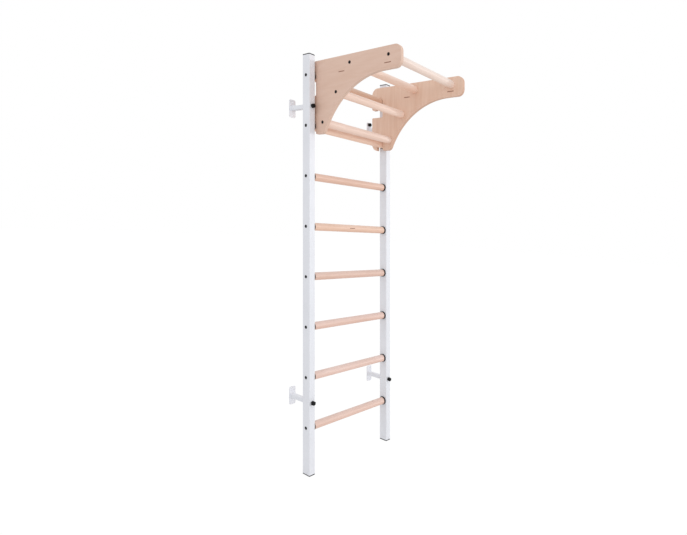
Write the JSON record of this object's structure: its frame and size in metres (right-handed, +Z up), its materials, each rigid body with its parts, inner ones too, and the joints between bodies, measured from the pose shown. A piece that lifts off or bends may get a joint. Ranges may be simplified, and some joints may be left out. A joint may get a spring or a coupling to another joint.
{
  "type": "pull up bar",
  "caption": "Wall ladder of white steel posts and round beech rungs, with a plywood pull-up unit of beech bars hooked over its top rungs.",
  "frame": {"origin": "on the wall plane at floor level, midway between the posts; the ladder stands in front of it, at -Y", "axes": "+X along the rungs to the right as seen from the room, +Y into the wall, +Z up"},
  "size_m": [0.6776, 0.822, 2.4],
  "materials": {
    "white_powder_coat": "fine white powder coat, satin",
    "black_plastic": "moulded, slightly textured",
    "black_bolt": "black coated steel, satin",
    "zinc_steel": "bright zinc plating",
    "beech": "turned beech, matt lacquer, grain along the bar",
    "plywood": "birch plywood, matt lacquer, layered edge"
  },
  "bodies": {
    "ladder": {"left_post": "white_powder_coat", "right_post": "white_powder_coat", "left_top_cap": "black_plastic", "right_top_cap": "black_plastic", "left_foot": "black_plastic", "right_foot": "black_plastic", "rung_1": "beech", "rung_2": "beech", "rung_3": "beech", "rung_4": "beech", "rung_5": "beech", "rung_6": "beech", "rung_7": "beech", "rung_8": "beech", "left_rung_bushes": "black_plastic", "right_rung_bushes": "black_plastic", "left_rung_bolts": "black_bolt", "right_rung_bolts": "black_bolt", "left_rung_inserts": "zinc_steel", "right_rung_inserts": "zinc_steel", "upper_left_bracket": "white_powder_coat", "upper_right_bracket": "white_powder_coat", "lower_left_bracket": "white_powder_coat", "lower_right_bracket": "white_powder_coat", "bracket_bosses": "zinc_steel", "post_spacers": "zinc_steel", "screw_cap": "black_plastic"},
    "pull_up_unit": {"left_panel": "plywood", "right_panel": "plywood", "front_pull_bar": "beech", "second_pull_bar": "beech", "third_pull_bar": "beech", "low_pull_bar": "beech", "left_panel_bolts": "black_bolt", "right_panel_bolts": "black_bolt", "left_bar_inserts": "zinc_steel", "right_bar_inserts": "zinc_steel"},
    "upper_left_knob": {"upper_left_knob": "black_plastic", "upper_left_stud": "zinc_steel"},
    "upper_right_knob": {"upper_right_knob": "black_plastic", "upper_right_stud": "zinc_steel"},
    "lower_left_knob": {"lower_left_knob": "black_plastic", "lower_left_stud": "zinc_steel"},
    "lower_right_knob": {"lower_right_knob": "black_plastic", "lower_right_stud": "zinc_steel"}
  },
  "joints": [
    {"name": "pull_up_lift", "type": "slide", "parent": "ladder", "child": "pull_up_unit", "axis": [0, 0, 1], "range_m": [0, 0.082]},
    {"name": "upper_left_knob_turn", "type": "hinge", "parent": "ladder", "child": "upper_left_knob", "pos_m": [-0.315, -0.182, 2.103], "axis": [0, -1, 0], "continuous": true},
    {"name": "upper_right_knob_turn", "type": "hinge", "parent": "ladder", "child": "upper_right_knob", "pos_m": [0.315, -0.182, 2.103], "axis": [0, -1, 0], "continuous": true},
    {"name": "lower_left_knob_turn", "type": "hinge", "parent": "ladder", "child": "lower_left_knob", "pos_m": [-0.315, -0.182, 0.414], "axis": [0, -1, 0], "continuous": true},
    {"name": "lower_right_knob_turn", "type": "hinge", "parent": "ladder", "child": "lower_right_knob", "pos_m": [0.315, -0.182, 0.414], "axis": [0, -1, 0], "continuous": true}
  ]
}
